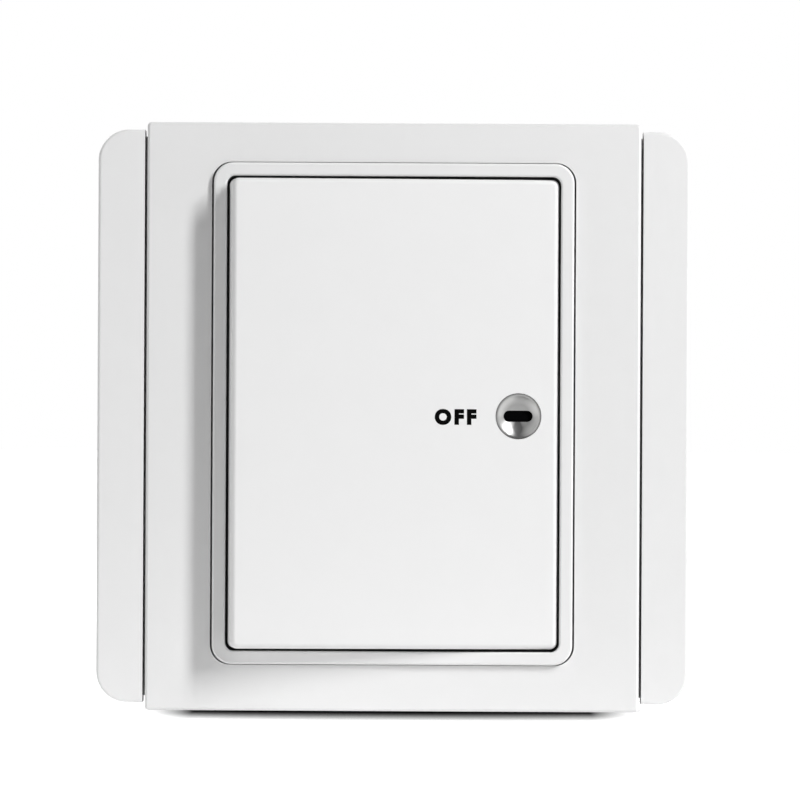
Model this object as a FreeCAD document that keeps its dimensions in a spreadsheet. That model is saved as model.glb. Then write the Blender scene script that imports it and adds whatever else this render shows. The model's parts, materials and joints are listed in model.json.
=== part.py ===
import FreeCAD, Part
import math
import os
import re
import Sketcher
from FreeCAD import Placement, Rotation, Vector

# Double-pole rocker wall switch on a screwless 86 mm plate, in millimetres.
# The wall is the plane y = 0, the front faces -Y, +Z is up and the origin is
# the middle of the fixing-screw pattern.

doc = FreeCAD.newDocument("rocker_wall_switch")

# Driving dimensions

SIZES = {
    # base plate with its side wings
    "wing_wide": 6.8,
    "wing_short": 1.1,
    "plate_corner": 4.5,
    "wing_front": 8.2,
    "wing_wall": 1.8,
    "wing_round": 0.45,
    "tray_front": 3.2,
    "ledge_front": 1.2,
    "slot_long": 6.0,
    "slot_clearance": 0.25,
    # clip-on front cover
    "cover_side": 2.8,
    "cover_head": 5.75,
    "cover_chin": 6.73,
    "cover_front": 8.5,
    "cover_foot": 0.5,
    "cover_wall": 1.6,
    "cover_corner": 0.6,
    "cover_bevel": 0.35,
    "cover_gap": 0.38,
    "clip_across": 31.6,
    "clip_up": 29.0,
    "clip_thick": 1.4,
    "clip_long": 6.0,
    "clip_barb": 0.8,
    "clip_hold": 0.1,
    "clip_clearance": 0.3,
    # fixing screws into the wall box
    "screw_spacing": 60.3,
    "screw_radius": 1.75,
    "screw_shank": 1.5,
    "screw_long": 28.0,
    "screw_head": 3.2,
    "screw_head_thick": 2.0,
    "screw_head_room": 0.2,
    "screw_slot_wide": 0.9,
    "screw_slot_deep": 0.9,
    "screw_head_round": 0.5,
    "thread_start": 0.05,
    "thread_tip": 0.6,
    # mechanism frame, with the rim that shows round the rocker
    "frame_front": 9.35,
    "frame_wall": 1.93,
    "frame_floor": 1.5,
    "frame_corner": 2.85,
    "mouth_corner": 1.3,
    "frame_side_gap": 0.28,
    "frame_end_gap": 0.1,
    "rim_round": 0.35,
    "post_at": 26.4,
    "post_thick": 2.0,
    "post_radius": 1.6,
    "hook_wide": 8.0,
    "hook_thick": 1.2,
    "hook_long": 7.0,
    "hook_barb": 0.9,
    # rocker
    "rocker_wide": 48.0,
    "rocker_high": 68.7,
    "rocker_front": 11.35,
    "rocker_deep": 5.85,
    "rocker_wall": 1.5,
    "rocker_corner": 1.0,
    "rocker_round": 0.8,
    "side_gap": 0.45,
    "end_gap": 0.43,
    "rocker_tilt": 5.5,
    "stop_clearance": 0.1,
    "stop_wide": 1.2,
    "stop_long": 12.0,
    # pivot and plungers in the carrier
    "pivot_front": 7.95,
    "stub_radius": 0.9,
    "running_fit": 0.05,
    "spine_wide": 9.0,
    "spine_back": 1.3,
    "tube_radius": 3.0,
    "tube_end": 7.4,
    "tube_floor": 0.4,
    "plunger_radius": 1.7,
    "plunger_tip": 1.3,
    "plunger_reach": 15.0,
    "plunger_long": 10.8,
    "plunger_travel": 0.4,
    "dome_flat": 0.05,
    "spring_wire": 0.4,
    "spring_turns": 5.0,
    # indicator
    "lamp_across": 18.1,
    "lamp_up": -0.25,
    "dish_radius": 3.3,
    "dish_gap": 0.07,
    "dish_curve": 5.2,
    "dish_deep": 0.95,
    "dish_thick": 1.45,
    "window_long": 4.3,
    "window_high": 1.65,
    "window_sunk": 0.1,
    "pipe_radius": 1.6,
    "pipe_long": 3.6,
    "lamp_radius": 1.5,
    "lamp_long": 2.6,
    "board_long": 11.0,
    "board_wide": 8.2,
    "board_edge": 1.5,
    "board_thick": 1.0,
    "resistor_radius": 0.9,
    "resistor_long": 6.0,
    "lead_radius": 0.5,
    "lead_across": 14.9,
    "lead_inset": 1.5,
    "lead_foot": 2.0,
    # contact arms
    "pole_up": 13.5,
    "arm_tilt": 8.0,
    "arm_wide": 6.0,
    "arm_thick": 1.2,
    "arm_left": 9.0,
    "arm_right": 12.8,
    "arm_gap": 0.3,
    "arm_round": 0.4,
    "arm_stop_wide": 3.0,
    "arm_stop_past": 0.5,
    "knife_foot": 1.65,
    "knife_clearance": 0.05,
    "contact_at": 11.0,
    "contact_radius": 1.7,
    "contact_thick": 0.9,
    "contact_dome": 6.0,
    "contact_round": 0.3,
    "contact_margin": 0.7,
    "contact_clearance": 0.05,
    # strips, terminals and housing
    "strip_thick": 1.0,
    "strip_wide": 5.0,
    "block_across": 13.0,
    "block_up": 23.0,
    "block_wide": 8.0,
    "block_high": 7.0,
    "block_deep": 9.0,
    "block_floor": 1.0,
    "wire_radius": 2.1,
    "wire_clearance": 0.4,
    "clamp_radius": 1.75,
    "clamp_head": 2.9,
    "clamp_head_thick": 1.6,
    "clamp_sunk": 1.6,
    "clamp_stand_off": 0.3,
    "driver_clearance": 0.3,
    "housing_wall": 1.8,
    "housing_room": 3.2,
    "housing_corner": 2.0,
    "housing_gap": 0.2,
    "support_radius": 2.2,
}

# Places worked out from the driving dimensions

PLACES = {
    "mouth_half": "rocker_wide / 2 + side_gap",
    "mouth_top": "rocker_high / 2 + end_gap",
    "frame_half": "mouth_half + frame_wall",
    "frame_top": "mouth_top + frame_wall",
    "way_half": "frame_half + frame_side_gap",
    "way_top": "frame_top + frame_end_gap",
    "screw_half": "max(screw_spacing / 2; way_half + screw_head + screw_head_room)",
    "cover_half": "screw_half + screw_head + cover_side",
    "cover_top": "way_top + cover_head",
    "cover_low": "way_top + cover_chin",
    "bay_half": "cover_half + cover_gap",
    "plate_half": "bay_half + wing_wide",
    "plate_top": "cover_top - wing_short",
    "plate_low": "cover_low - wing_short",
    "tray_top": "cover_top - cover_wall - cover_gap",
    "tray_low": "cover_low - cover_wall - cover_gap",
    "catch_front": "tray_front / 2",
    "slot_half": "screw_radius + slot_clearance",
    "floor_front": "ledge_front + frame_floor",
    "clamp_seat": "block_up + block_high / 2 + clamp_stand_off",
    "block_reach": "block_across + block_wide / 2 + housing_room",
    "board_reach": "lamp_across + board_edge + housing_gap",
    "housing_half": "max(block_reach; board_reach) + housing_wall",
    "housing_top": "clamp_seat + clamp_head_thick + clamp_sunk",
    "hook_half": "housing_half + housing_gap + hook_thick",
    "hook_top": "housing_top + housing_gap + hook_thick",
    "face_at": "-(rocker_front - pivot_front)",
    "skirt_end": "face_at + rocker_deep",
    "cap_inside": "face_at + rocker_wall",
    "edge_drop": "rocker_wide / 2 * sin(rocker_tilt * 1deg) + skirt_end * cos(rocker_tilt * 1deg)",
    "stop_front": "pivot_front - edge_drop - stop_clearance",
    "tube_swing": "tube_end * sin(rocker_tilt * 1deg)",
    "tip_centre": "plunger_reach - plunger_tip",
    "plunger_back": "plunger_reach - plunger_long",
    "arm_front": "tip_centre * cos(rocker_tilt * 1deg) * cos(arm_tilt * 1deg)"
                 " - tip_centre * sin(rocker_tilt * 1deg) * sin(arm_tilt * 1deg)"
                 " + plunger_tip + arm_gap",
    "arm_back": "(arm_front + arm_thick) / cos(arm_tilt * 1deg) - pivot_front",
    "contact_low": "contact_at * sin(arm_tilt * 1deg)"
                   " + (contact_thick - contact_dome) * cos(arm_tilt * 1deg) + contact_dome",
    "fixed_front": "arm_back + contact_low + contact_clearance",
    "fixed_across": "contact_at * cos(arm_tilt * 1deg)",
    "strip_front": "fixed_front + contact_thick",
    "strip_near": "pole_up - arm_wide / 2",
    "strip_back": "strip_front + strip_thick",
    "housing_floor": "strip_back + block_deep",
    "housing_back": "housing_floor + housing_wall",
    "rest_stop": "arm_back + arm_left * sin(arm_tilt * 1deg) + stop_clearance",
    "clamp_level": "strip_back + block_deep / 2",
    "clamp_start": "block_up + wire_radius + clamp_stand_off",
    "board_back": "board_thick - ledge_front",
    "board_right": "lamp_across + board_edge",
}


def fill_sheet(name, cells, prefix=""):
    """Put named values in a sheet, one alias for each row."""
    sheet = doc.addObject("Spreadsheet::Sheet", name)
    for row, (alias, content) in enumerate(cells.items(), 1):
        sheet.set(f"A{row}", alias)
        sheet.set(f"B{row}", f"{prefix}{content}")
        sheet.setAlias(f"B{row}", alias)
    return sheet


def bound(text):
    """Turn the aliases in a formula into references to their sheets."""
    def reference(match):
        word = match.group()
        if word in SIZES:
            return f"Sizes.{word}"
        if word in PLACES:
            return f"Places.{word}"
        return word
    return re.sub(r"[a-z_]+", reference, text)


sizes = fill_sheet("Sizes", SIZES)
places = fill_sheet("Places", {alias: bound(formula) for alias, formula in PLACES.items()}, "=")
doc.recompute()


def value(text):
    """Work out a formula as a number."""
    return float(sizes.evalExpression(bound(text)))


# Sketches

PLANES = {"x": "YZ_Plane", "y": "XZ_Plane", "z": "XY_Plane"}
START, END, CENTRE = 1, 2, 3


def new_body(label):
    body = doc.addObject("PartDesign::Body", label)
    body.Label = label
    return body


def sketch_at(body, name, axis, level):
    """Open a sketch square to an axis, at a level along it."""
    role = PLANES[axis]
    plane = next(item for item in body.Origin.OriginFeatures if item.Role == role)
    sketch = body.newObject("Sketcher::SketchObject", f"{name}_sketch")
    sketch.AttachmentSupport = (plane, [""])
    sketch.MapMode = "FlatFace"
    # the XZ plane looks towards -Y
    offset = f"-({level})" if axis == "y" else level
    sketch.setExpression(".AttachmentOffset.Base.z", bound(offset))
    return sketch


def dimension(sketch, kind, where, formula):
    """Add a constraint that follows a formula."""
    index = sketch.addConstraint(Sketcher.Constraint(kind, *where, value(formula)))
    sketch.setExpression(f"Constraints[{index}]", bound(formula))


def pin_point(sketch, line, point, across, up):
    dimension(sketch, "DistanceX", (-1, 1, line, point), across)
    dimension(sketch, "DistanceY", (-1, 1, line, point), up)


def polygon(*points):
    """Draw straight sides through points given as pairs of formulas."""
    def draw(sketch):
        first = sketch.GeometryCount
        corners = [Vector(value(across), value(up), 0) for across, up in points]
        count = len(corners)
        sides = [Part.LineSegment(corners[i], corners[(i + 1) % count]) for i in range(count)]
        sketch.addGeometry(sides, False)
        for i in range(count):
            following = first + (i + 1) % count
            sketch.addConstraint(Sketcher.Constraint("Coincident", first + i, END, following, START))
        for i, (across, up) in enumerate(points):
            pin_point(sketch, first + i, START, across, up)
    return draw


def rectangle(left, right, low, high):
    return polygon((left, low), (right, low), (right, high), (left, high))


def centred(half_wide, half_high):
    return rectangle(f"-({half_wide})", half_wide, f"-({half_high})", half_high)


def uneven(half_wide, low, top):
    """Draw a rectangle that reaches unequally below and above the middle."""
    return rectangle(f"-({half_wide})", half_wide, f"-({low})", top)


def circle(across, up, radius):
    def draw(sketch):
        centre = Vector(value(across), value(up), 0)
        ring = sketch.addGeometry(Part.Circle(centre, Vector(0, 0, 1), value(radius)), False)
        pin_point(sketch, ring, CENTRE, across, up)
        dimension(sketch, "Radius", (ring,), radius)
    return draw


def stadium(across, up, length, high, upright=False):
    """Draw a slot with round ends, lying or upright."""
    def draw(sketch):
        x, y, radius = value(across), value(up), value(high) / 2
        reach = value(length) / 2 - radius
        along = Vector(0, reach, 0) if upright else Vector(reach, 0, 0)
        aside = Vector(-radius, 0, 0) if upright else Vector(0, radius, 0)
        middle = Vector(x, y, 0)
        ends = [middle + along, middle - along]
        outward = along.normalize() * radius
        tips = [ends[0] + outward, ends[1] - outward]
        first = sketch.GeometryCount
        sketch.addGeometry([
            Part.LineSegment(ends[1] - aside, ends[0] - aside),
            Part.Arc(ends[0] - aside, tips[0], ends[0] + aside),
            Part.LineSegment(ends[0] + aside, ends[1] + aside),
            Part.Arc(ends[1] + aside, tips[1], ends[1] - aside),
        ], False)
        for i in range(4):
            following = first + (i + 1) % 4
            sketch.addConstraint(Sketcher.Constraint("Tangent", first + i, END, following, START))
        reach_formula = f"({length} - {high}) / 2"
        for end, sign in ((first + 1, "+"), (first + 3, "-")):
            if upright:
                pin_point(sketch, end, CENTRE, across, f"{up} {sign} {reach_formula}")
            else:
                pin_point(sketch, end, CENTRE, f"{across} {sign} {reach_formula}", up)
        dimension(sketch, "Radius", (first + 1,), f"{high} / 2")
    return draw


# Features

CLOSE = 1e-4


def grow(body, name, axis, low, high, *shapes):
    """Add material between two levels along an axis."""
    start = high if axis == "y" else low
    sketch = sketch_at(body, name, axis, start)
    for shape in shapes:
        shape(sketch)
    pad = body.newObject("PartDesign::Pad", name)
    pad.Profile = sketch
    pad.setExpression("Length", bound(f"({high}) - ({low})"))
    doc.recompute()
    return pad


def cut(body, name, axis, low, high, *shapes):
    """Take material away between two levels along an axis."""
    before = body.Shape.Volume
    start = low if axis == "y" else high
    sketch = sketch_at(body, name, axis, start)
    for shape in shapes:
        shape(sketch)
    pocket = body.newObject("PartDesign::Pocket", name)
    pocket.Profile = sketch
    pocket.setExpression("Length", bound(f"({high}) - ({low})"))
    doc.recompute()
    if not body.Shape.Volume < before - CLOSE:
        raise RuntimeError(f"{name} takes nothing away from {body.Label}")
    return pocket


def edges_where(feature, test):
    """Name the edges whose box and middle pass a test."""
    chosen = []
    for number, edge in enumerate(feature.Shape.Edges, 1):
        if test(edge.BoundBox, edge.CenterOfMass):
            chosen.append(f"Edge{number}")
    return chosen


def along_y(box):
    return box.YLength > CLOSE and box.XLength < CLOSE and box.ZLength < CLOSE


def at_level(box, level):
    return abs(box.YMin - level) < CLOSE and abs(box.YMax - level) < CLOSE


def beside(position, formula):
    """Tell whether a place lies this far from the middle, on either side."""
    return abs(abs(position) - value(formula)) < CLOSE


def dress(body, name, kind, radius, test):
    """Fillet or chamfer the edges that pass a test."""
    base = body.Tip
    feature = body.newObject(f"PartDesign::{kind}", name)
    feature.Base = (base, edges_where(base, test))
    feature.setExpression("Radius" if kind == "Fillet" else "Size", bound(radius))
    doc.recompute()
    return feature


def stand(body, across="0", back="0", up="0", turn="0"):
    """Place a body, turned about the upright line through its own origin."""
    rotation = Rotation(Vector(0, 0, 1), value(turn))
    body.Placement = Placement(Vector(value(across), value(back), value(up)), rotation)
    for letter, formula in zip("xyz", (across, back, up)):
        body.setExpression(f"Placement.Base.{letter}", bound(formula))
    if turn != "0":
        body.setExpression("Placement.Rotation.Angle", bound(f"({turn}) * 1deg"))


SIDES = ("1", "-1")


def both(formula):
    return (formula, f"-({formula})")


def band(side, near, far):
    """Levels between two distances from the middle, in rising order."""
    return (near, far) if side == "1" else (f"-({far})", f"-({near})")


parts = []


# Base plate

def make_base_plate():
    body = new_body("base_plate")
    grow(body, "plate", "y", "-wing_front", "0", uneven("plate_half", "plate_low", "plate_top"))
    dress(body, "plate_corners", "Fillet", "plate_corner", lambda box, middle: along_y(box))
    cut(body, "bay", "y", "-wing_front", "-tray_front", uneven("bay_half", "plate_low", "plate_top"))
    cut(body, "cover_ways", "y", "-tray_front", "0",
        rectangle("-bay_half", "bay_half", "tray_top", "plate_top"),
        rectangle("-bay_half", "bay_half", "-plate_low", "-tray_low"))
    cut(body, "frame_seat", "y", "-tray_front", "-ledge_front",
        centred("way_half", "way_top"))
    cut(body, "mechanism_way", "y", "-ledge_front", "0",
        centred("hook_half + clip_clearance", "hook_top + clip_clearance"))
    cut(body, "screw_slots", "y", "-tray_front", "0",
        stadium("screw_half", "0", "slot_long", "2 * slot_half"),
        stadium("-screw_half", "0", "slot_long", "2 * slot_half", upright=True))
    for number, (side, up) in enumerate((side, up) for side in SIDES for up in both("clip_up")):
        inner = f"{side} * (clip_across - clip_thick / 2 - clip_clearance)"
        outer = f"{side} * (clip_across + clip_thick / 2 + clip_clearance)"
        catch = f"{side} * (clip_across + clip_thick / 2 + clip_barb + clip_clearance)"
        low = f"{up} - clip_long / 2 - clip_clearance"
        high = f"{up} + clip_long / 2 + clip_clearance"
        cut(body, f"clip_way_{number}", "y", "-tray_front", "0", rectangle(inner, outer, low, high))
        cut(body, f"clip_catch_{number}", "y", "-catch_front", "0", rectangle(inner, catch, low, high))
    for number, side in enumerate(SIDES):
        near = f"{side} * (bay_half + wing_wall)"
        far = f"{side} * (plate_half - wing_wall)"
        cut(body, f"wing_hollow_{number}", "y", "-wing_front + wing_wall", "0",
            rectangle(near, far, "-plate_low + plate_corner", "plate_top - plate_corner"))
    wing_level = value("-wing_front")
    dress(body, "wing_rounds", "Fillet", "wing_round",
          lambda box, middle: at_level(box, wing_level) and not beside(middle.x, "bay_half"))
    parts.append(body)


# Front cover

def make_front_cover():
    body = new_body("front_cover")
    grow(body, "cover", "y", "-cover_front", "-cover_foot", uneven("cover_half", "cover_low", "cover_top"))
    dress(body, "cover_corners", "Fillet", "cover_corner", lambda box, middle: along_y(box))
    cut(body, "hollow", "y", "-cover_front + cover_wall", "-cover_foot",
        uneven("cover_half - cover_wall", "cover_low - cover_wall", "cover_top - cover_wall"))
    cut(body, "tray_way", "y", "-tray_front", "-cover_foot",
        uneven("cover_half", "cover_low - cover_wall", "cover_top - cover_wall"))
    cut(body, "frame_way", "y", "-cover_front", "-cover_front + cover_wall",
        centred("way_half", "way_top"))
    dress(body, "frame_way_corners", "Fillet", "frame_corner + frame_end_gap",
          lambda box, middle: along_y(box) and beside(middle.x, "way_half"))
    inside = "-cover_front + cover_wall"
    hold = "-catch_front + clip_hold"
    for number, (side, up) in enumerate((side, up) for side in SIDES for up in both("clip_up")):
        inner = f"{side} * (clip_across - clip_thick / 2)"
        outer = f"{side} * (clip_across + clip_thick / 2)"
        barb = f"{side} * (clip_across + clip_thick / 2 + clip_barb)"
        grow(body, f"clip_{number}", "z", f"{up} - clip_long / 2", f"{up} + clip_long / 2", polygon(
            (inner, inside), (outer, inside), (outer, hold), (barb, hold),
            (outer, "-clip_clearance"), (inner, "-clip_clearance")))
    level = value("-cover_front")
    way_half = value("way_half") + CLOSE
    way_top = value("way_top") + CLOSE
    dress(body, "cover_bevels", "Chamfer", "cover_bevel", lambda box, middle: at_level(box, level)
          and (abs(middle.x) > way_half or abs(middle.z) > way_top))
    parts.append(body)


# Mechanism frame

def make_mechanism_frame():
    body = new_body("mechanism_frame")
    grow(body, "frame", "y", "-frame_front", "-ledge_front", centred("frame_half", "frame_top"))
    dress(body, "frame_corners", "Fillet", "frame_corner", lambda box, middle: along_y(box))
    cut(body, "mouth", "y", "-frame_front", "-floor_front", centred("mouth_half", "mouth_top"))
    dress(body, "mouth_corners", "Fillet", "mouth_corner",
          lambda box, middle: along_y(box) and beside(middle.x, "mouth_half"))
    for number, up in enumerate(both("pole_up")):
        half_wide = "tube_radius + tube_swing + clip_clearance"
        half_high = "tube_radius + clip_clearance"
        cut(body, f"tube_way_{number}", "y", "-floor_front", "-ledge_front",
            rectangle(f"-({half_wide})", half_wide, f"{up} - ({half_high})", f"{up} + {half_high}"))
    cut(body, "lamp_way", "y", "-floor_front", "-ledge_front",
        circle("lamp_across", "lamp_up", "lamp_radius + running_fit"))
    for number, side in enumerate(SIDES):
        low, high = band(side, "post_at", "post_at + post_thick")
        grow(body, f"post_{number}", "z", low, high,
             rectangle("-post_radius", "post_radius", "-pivot_front", "-ledge_front"))
        grow(body, f"post_head_{number}", "z", low, high, circle("0", "-pivot_front", "post_radius"))
        cut(body, f"post_bore_{number}", "z", low, high,
            circle("0", "-pivot_front", "stub_radius + running_fit"))
        outer = f"{side} * (rocker_wide / 2 * cos(rocker_tilt * 1deg))"
        inner = f"{side} * (rocker_wide / 2 * cos(rocker_tilt * 1deg) - stop_wide)"
        grow(body, f"stop_{number}", "y", "-stop_front", "-ledge_front",
             rectangle(inner, outer, "-stop_long / 2", "stop_long / 2"))
    hook_tip = "-ledge_front + hook_long"
    barb_tip = f"{hook_tip} - hook_barb"
    barb_end = f"{hook_tip} - 2 * hook_barb"
    for number, side in enumerate(SIDES):
        back = f"{side} * hook_half"
        face = f"{side} * (hook_half - hook_thick)"
        barb = f"{side} * (hook_half - hook_thick - hook_barb)"
        grow(body, f"side_hook_{number}", "z", "-hook_wide / 2", "hook_wide / 2", polygon(
            (back, "-ledge_front"), (back, hook_tip), (face, hook_tip), (barb, barb_tip),
            (barb, barb_end), (face, barb_end), (face, "-ledge_front")))
        back = f"{side} * hook_top"
        face = f"{side} * (hook_top - hook_thick)"
        barb = f"{side} * (hook_top - hook_thick - hook_barb)"
        grow(body, f"end_hook_{number}", "x", "-hook_wide / 2", "hook_wide / 2", polygon(
            ("-ledge_front", back), (hook_tip, back), (hook_tip, face), (barb_tip, barb),
            (barb_end, barb), (barb_end, face), ("-ledge_front", face)))
    level = value("-frame_front")
    dress(body, "rim_rounds", "Fillet", "rim_round", lambda box, middle: at_level(box, level))
    parts.append(body)


# Rocker, drawn flat from the pivot line and then tilted

def ride_rocker(body):
    stand(body, back="-pivot_front", turn="rocker_tilt")
    parts.append(body)


def make_rocker_cap():
    body = new_body("rocker_cap")
    grow(body, "cap", "y", "face_at", "skirt_end", centred("rocker_wide / 2", "rocker_high / 2"))
    dress(body, "cap_corners", "Fillet", "rocker_corner", lambda box, middle: along_y(box))
    cut(body, "hollow", "y", "cap_inside", "skirt_end",
        centred("rocker_wide / 2 - rocker_wall", "rocker_high / 2 - rocker_wall"))
    cut(body, "dish_seat", "y", "face_at", "cap_inside",
        circle("lamp_across", "lamp_up", "dish_radius + dish_gap"))
    level = value("face_at")
    dress(body, "cap_rounds", "Fillet", "rocker_round",
          lambda box, middle: at_level(box, level) and not beside(middle.x, "lamp_across"))
    ride_rocker(body)


def make_rocker_carrier():
    body = new_body("rocker_carrier")
    spine_end = "post_at - clip_clearance"
    grow(body, "spine", "y", "cap_inside", "spine_back", centred("spine_wide / 2", spine_end))
    stub_end = "post_at + post_thick + clip_clearance"
    grow(body, "upper_stub", "z", spine_end, stub_end, circle("0", "0", "stub_radius"))
    grow(body, "lower_stub", "z", f"-({stub_end})", f"-({spine_end})", circle("0", "0", "stub_radius"))
    for number, up in enumerate(both("pole_up")):
        grow(body, f"tube_{number}", "y", "cap_inside", "tube_end", circle("0", up, "tube_radius"))
        cut(body, f"tube_bore_{number}", "y", "tube_floor", "tube_end",
            circle("0", up, "plunger_radius + running_fit"))
    ride_rocker(body)


def make_indicator():
    dish = new_body("indicator_dish")
    grow(dish, "disc", "y", "0", "dish_thick", circle("0", "0", "dish_radius"))
    hollow = dish.newObject("PartDesign::SubtractiveSphere", "hollow")
    hollow.setExpression("Radius", bound("dish_curve"))
    hollow.setExpression("Placement.Base.y", bound("dish_deep - dish_curve"))
    doc.recompute()
    cut(dish, "window_way", "y", "0", "dish_thick", stadium("0", "0", "window_long", "window_high"))
    window = new_body("indicator_window")
    grow(window, "window", "y", "dish_deep + window_sunk", "dish_thick",
         stadium("0", "0", "window_long", "window_high"))
    pipe = new_body("light_pipe")
    grow(pipe, "pipe", "y", "dish_thick", "dish_thick + pipe_long", circle("0", "0", "pipe_radius"))
    for body in (dish, window, pipe):
        turn = "rocker_tilt * 1deg"
        stand(body, across=f"lamp_across * cos({turn}) - face_at * sin({turn})",
              back=f"-pivot_front + lamp_across * sin({turn}) + face_at * cos({turn})",
              up="lamp_up", turn="rocker_tilt")
        parts.append(body)


# Plungers and springs

def make_plungers():
    for name, up in (("upper", "pole_up"), ("lower", "-pole_up")):
        plunger = new_body(f"plunger_{name}")
        grow(plunger, "stem", "y", "plunger_back", "tip_centre", circle("0", up, "plunger_radius"))
        grow(plunger, "nose", "y", "tip_centre", "plunger_reach", circle("0", up, "plunger_tip"))
        level = value("plunger_reach")
        dress(plunger, "tip", "Fillet", "plunger_tip - dome_flat",
              lambda box, middle: at_level(box, level))
        ride_rocker(plunger)
        make_spring(f"plunger_spring_{name}", up)


def make_spring(label, up):
    """Wind the spring between the blind end of its tube and the plunger."""
    body = new_body(label)
    turn_radius = "(plunger_radius - spring_wire / 2 - running_fit)"
    long = "(plunger_back - plunger_travel - tube_floor - spring_wire)"
    sketch = sketch_at(body, "wire", "z", up)
    circle(turn_radius, "tube_floor + spring_wire / 2", "spring_wire / 2")(sketch)
    helix = body.newObject("PartDesign::AdditiveHelix", "coil")
    helix.Profile = sketch
    helix.ReferenceAxis = (sketch, ["V_Axis"])
    helix.Mode = "height-turns-growth"
    helix.setExpression("Height", bound(long))
    helix.setExpression("Turns", bound("spring_turns"))
    doc.recompute()
    ride_rocker(body)


# Contact arms, drawn flat from their rocking line and then tilted

def make_contact_arms():
    for name, up in (("upper", "pole_up"), ("lower", "-pole_up")):
        arm = new_body(f"contact_arm_{name}")
        grow(arm, "arm", "y", "-arm_thick", "0",
             rectangle("-arm_left", "arm_right", "-arm_wide / 2", "arm_wide / 2"))
        level = value("-arm_thick")
        dress(arm, "arm_rounds", "Fillet", "arm_round", lambda box, middle: at_level(box, level))
        stand(arm, back="arm_back", up=up, turn="-arm_tilt")
        parts.append(arm)
        button = new_body(f"moving_contact_{name}")
        sketch = sketch_at(button, "button", "z", "0")
        draw_dome(sketch)
        turned = button.newObject("PartDesign::Revolution", "button")
        turned.Profile = sketch
        turned.ReferenceAxis = (sketch, ["V_Axis"])
        turned.Angle = 360
        doc.recompute()
        stand(button, across="contact_at * cos(arm_tilt * 1deg)",
              back="arm_back - contact_at * sin(arm_tilt * 1deg)", up=up, turn="-arm_tilt")
        parts.append(button)


def draw_dome(sketch):
    """Half the outline of a button whose face is part of a sphere."""
    radius, dome, thick = value("contact_radius"), value("contact_dome"), value("contact_thick")
    centre = thick - dome
    rim = centre + (dome ** 2 - radius ** 2) ** 0.5
    half = radius / 2
    between = Vector(half, centre + (dome ** 2 - half ** 2) ** 0.5, 0)
    corners = [Vector(0, 0, 0), Vector(radius, 0, 0), Vector(radius, rim, 0), Vector(0, thick, 0)]
    sketch.addGeometry([
        Part.LineSegment(corners[0], corners[1]),
        Part.LineSegment(corners[1], corners[2]),
        Part.Arc(corners[2], between, corners[3]),
        Part.LineSegment(corners[3], corners[0]),
    ], False)
    foot, side, face, axis = range(4)
    for line in (foot, side, face, axis):
        following = (line + 1) % 4
        sketch.addConstraint(Sketcher.Constraint("Coincident", line, END, following, START))
    pin_point(sketch, foot, START, "0", "0")
    pin_point(sketch, side, START, "contact_radius", "0")
    sketch.addConstraint(Sketcher.Constraint("Vertical", side))
    pin_point(sketch, axis, START, "0", "contact_thick")
    dimension(sketch, "Radius", (face,), "contact_dome")
    upright_axis = -2
    sketch.addConstraint(Sketcher.Constraint("PointOnObject", face, CENTRE, upright_axis))


# Strips, contacts and terminals

def make_poles():
    for name, side in zip(("upper", "lower"), SIDES):
        pole = f"{side} * pole_up"
        near = f"{side} * strip_near"
        turn = f"{side} * (block_up - strip_wide / 2)"
        end = f"{side} * (block_up + strip_wide / 2)"
        common = new_body(f"common_strip_{name}")
        grow(common, "strip", "y", "strip_front", "strip_back", polygon(
            ("-strip_wide / 2", near), ("strip_wide / 2", near), ("strip_wide / 2", end),
            ("-block_across - block_wide / 2", end), ("-block_across - block_wide / 2", turn),
            ("-strip_wide / 2", turn)))
        grow(common, "knife", "z", f"{pole} - arm_wide / 2", f"{pole} + arm_wide / 2", polygon(
            ("-knife_foot", "strip_front"), ("0", "arm_back + knife_clearance"),
            ("knife_foot", "strip_front")))
        parts.append(common)
        load = new_body(f"load_strip_{name}")
        left = "fixed_across - contact_radius - contact_margin"
        grow(load, "strip", "y", "strip_front", "strip_back",
             rectangle(left, "block_across + block_wide / 2", near, end))
        parts.append(load)
        fixed = new_body(f"fixed_contact_{name}")
        grow(fixed, "button", "y", "fixed_front", "strip_front",
             circle("fixed_across", pole, "contact_radius"))
        level = value("fixed_front")
        dress(fixed, "button_round", "Fillet", "contact_round", lambda box, middle: at_level(box, level))
        parts.append(fixed)
        for role, across in (("common", "-block_across"), ("load", "block_across")):
            make_terminal_block(f"{role}_terminal_{name}", across, side)


def make_terminal_block(label, across, side):
    """A brass block with a wire bore from behind and a clamp thread from its end."""
    block = new_body(label)
    grow(block, "block", "y", "strip_back", "housing_floor", rectangle(
        f"{across} - block_wide / 2", f"{across} + block_wide / 2",
        f"{side} * (block_up - block_high / 2)", f"{side} * (block_up + block_high / 2)"))
    cut(block, "wire_bore", "y", "strip_back + block_floor", "housing_floor",
        circle(across, f"{side} * block_up", "wire_radius"))
    low, high = band(side, "block_up", "block_up + block_high / 2")
    cut(block, "clamp_thread", "z", low, high,
        circle(across, "clamp_level", "clamp_radius + running_fit"))
    parts.append(block)


def screw_with_slot(radius, long, head_radius, head_thick):
    """A slotted screw along +Z with the underside of its head at z = 0."""
    wide, deep = value("screw_slot_wide"), value("screw_slot_deep")
    shank = Part.makeCylinder(radius, long)
    head = Part.makeCylinder(head_radius, head_thick, Vector(0, 0, -head_thick))
    rim = [edge for edge in head.Edges if abs(edge.BoundBox.ZMax + head_thick) < CLOSE]
    head = head.makeFillet(value("screw_head_round"), rim)
    slot = Part.makeBox(2 * head_radius, wide, deep, Vector(-head_radius, -wide / 2, -head_thick))
    return head.fuse(shank).cut(slot).removeSplitter()


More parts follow.
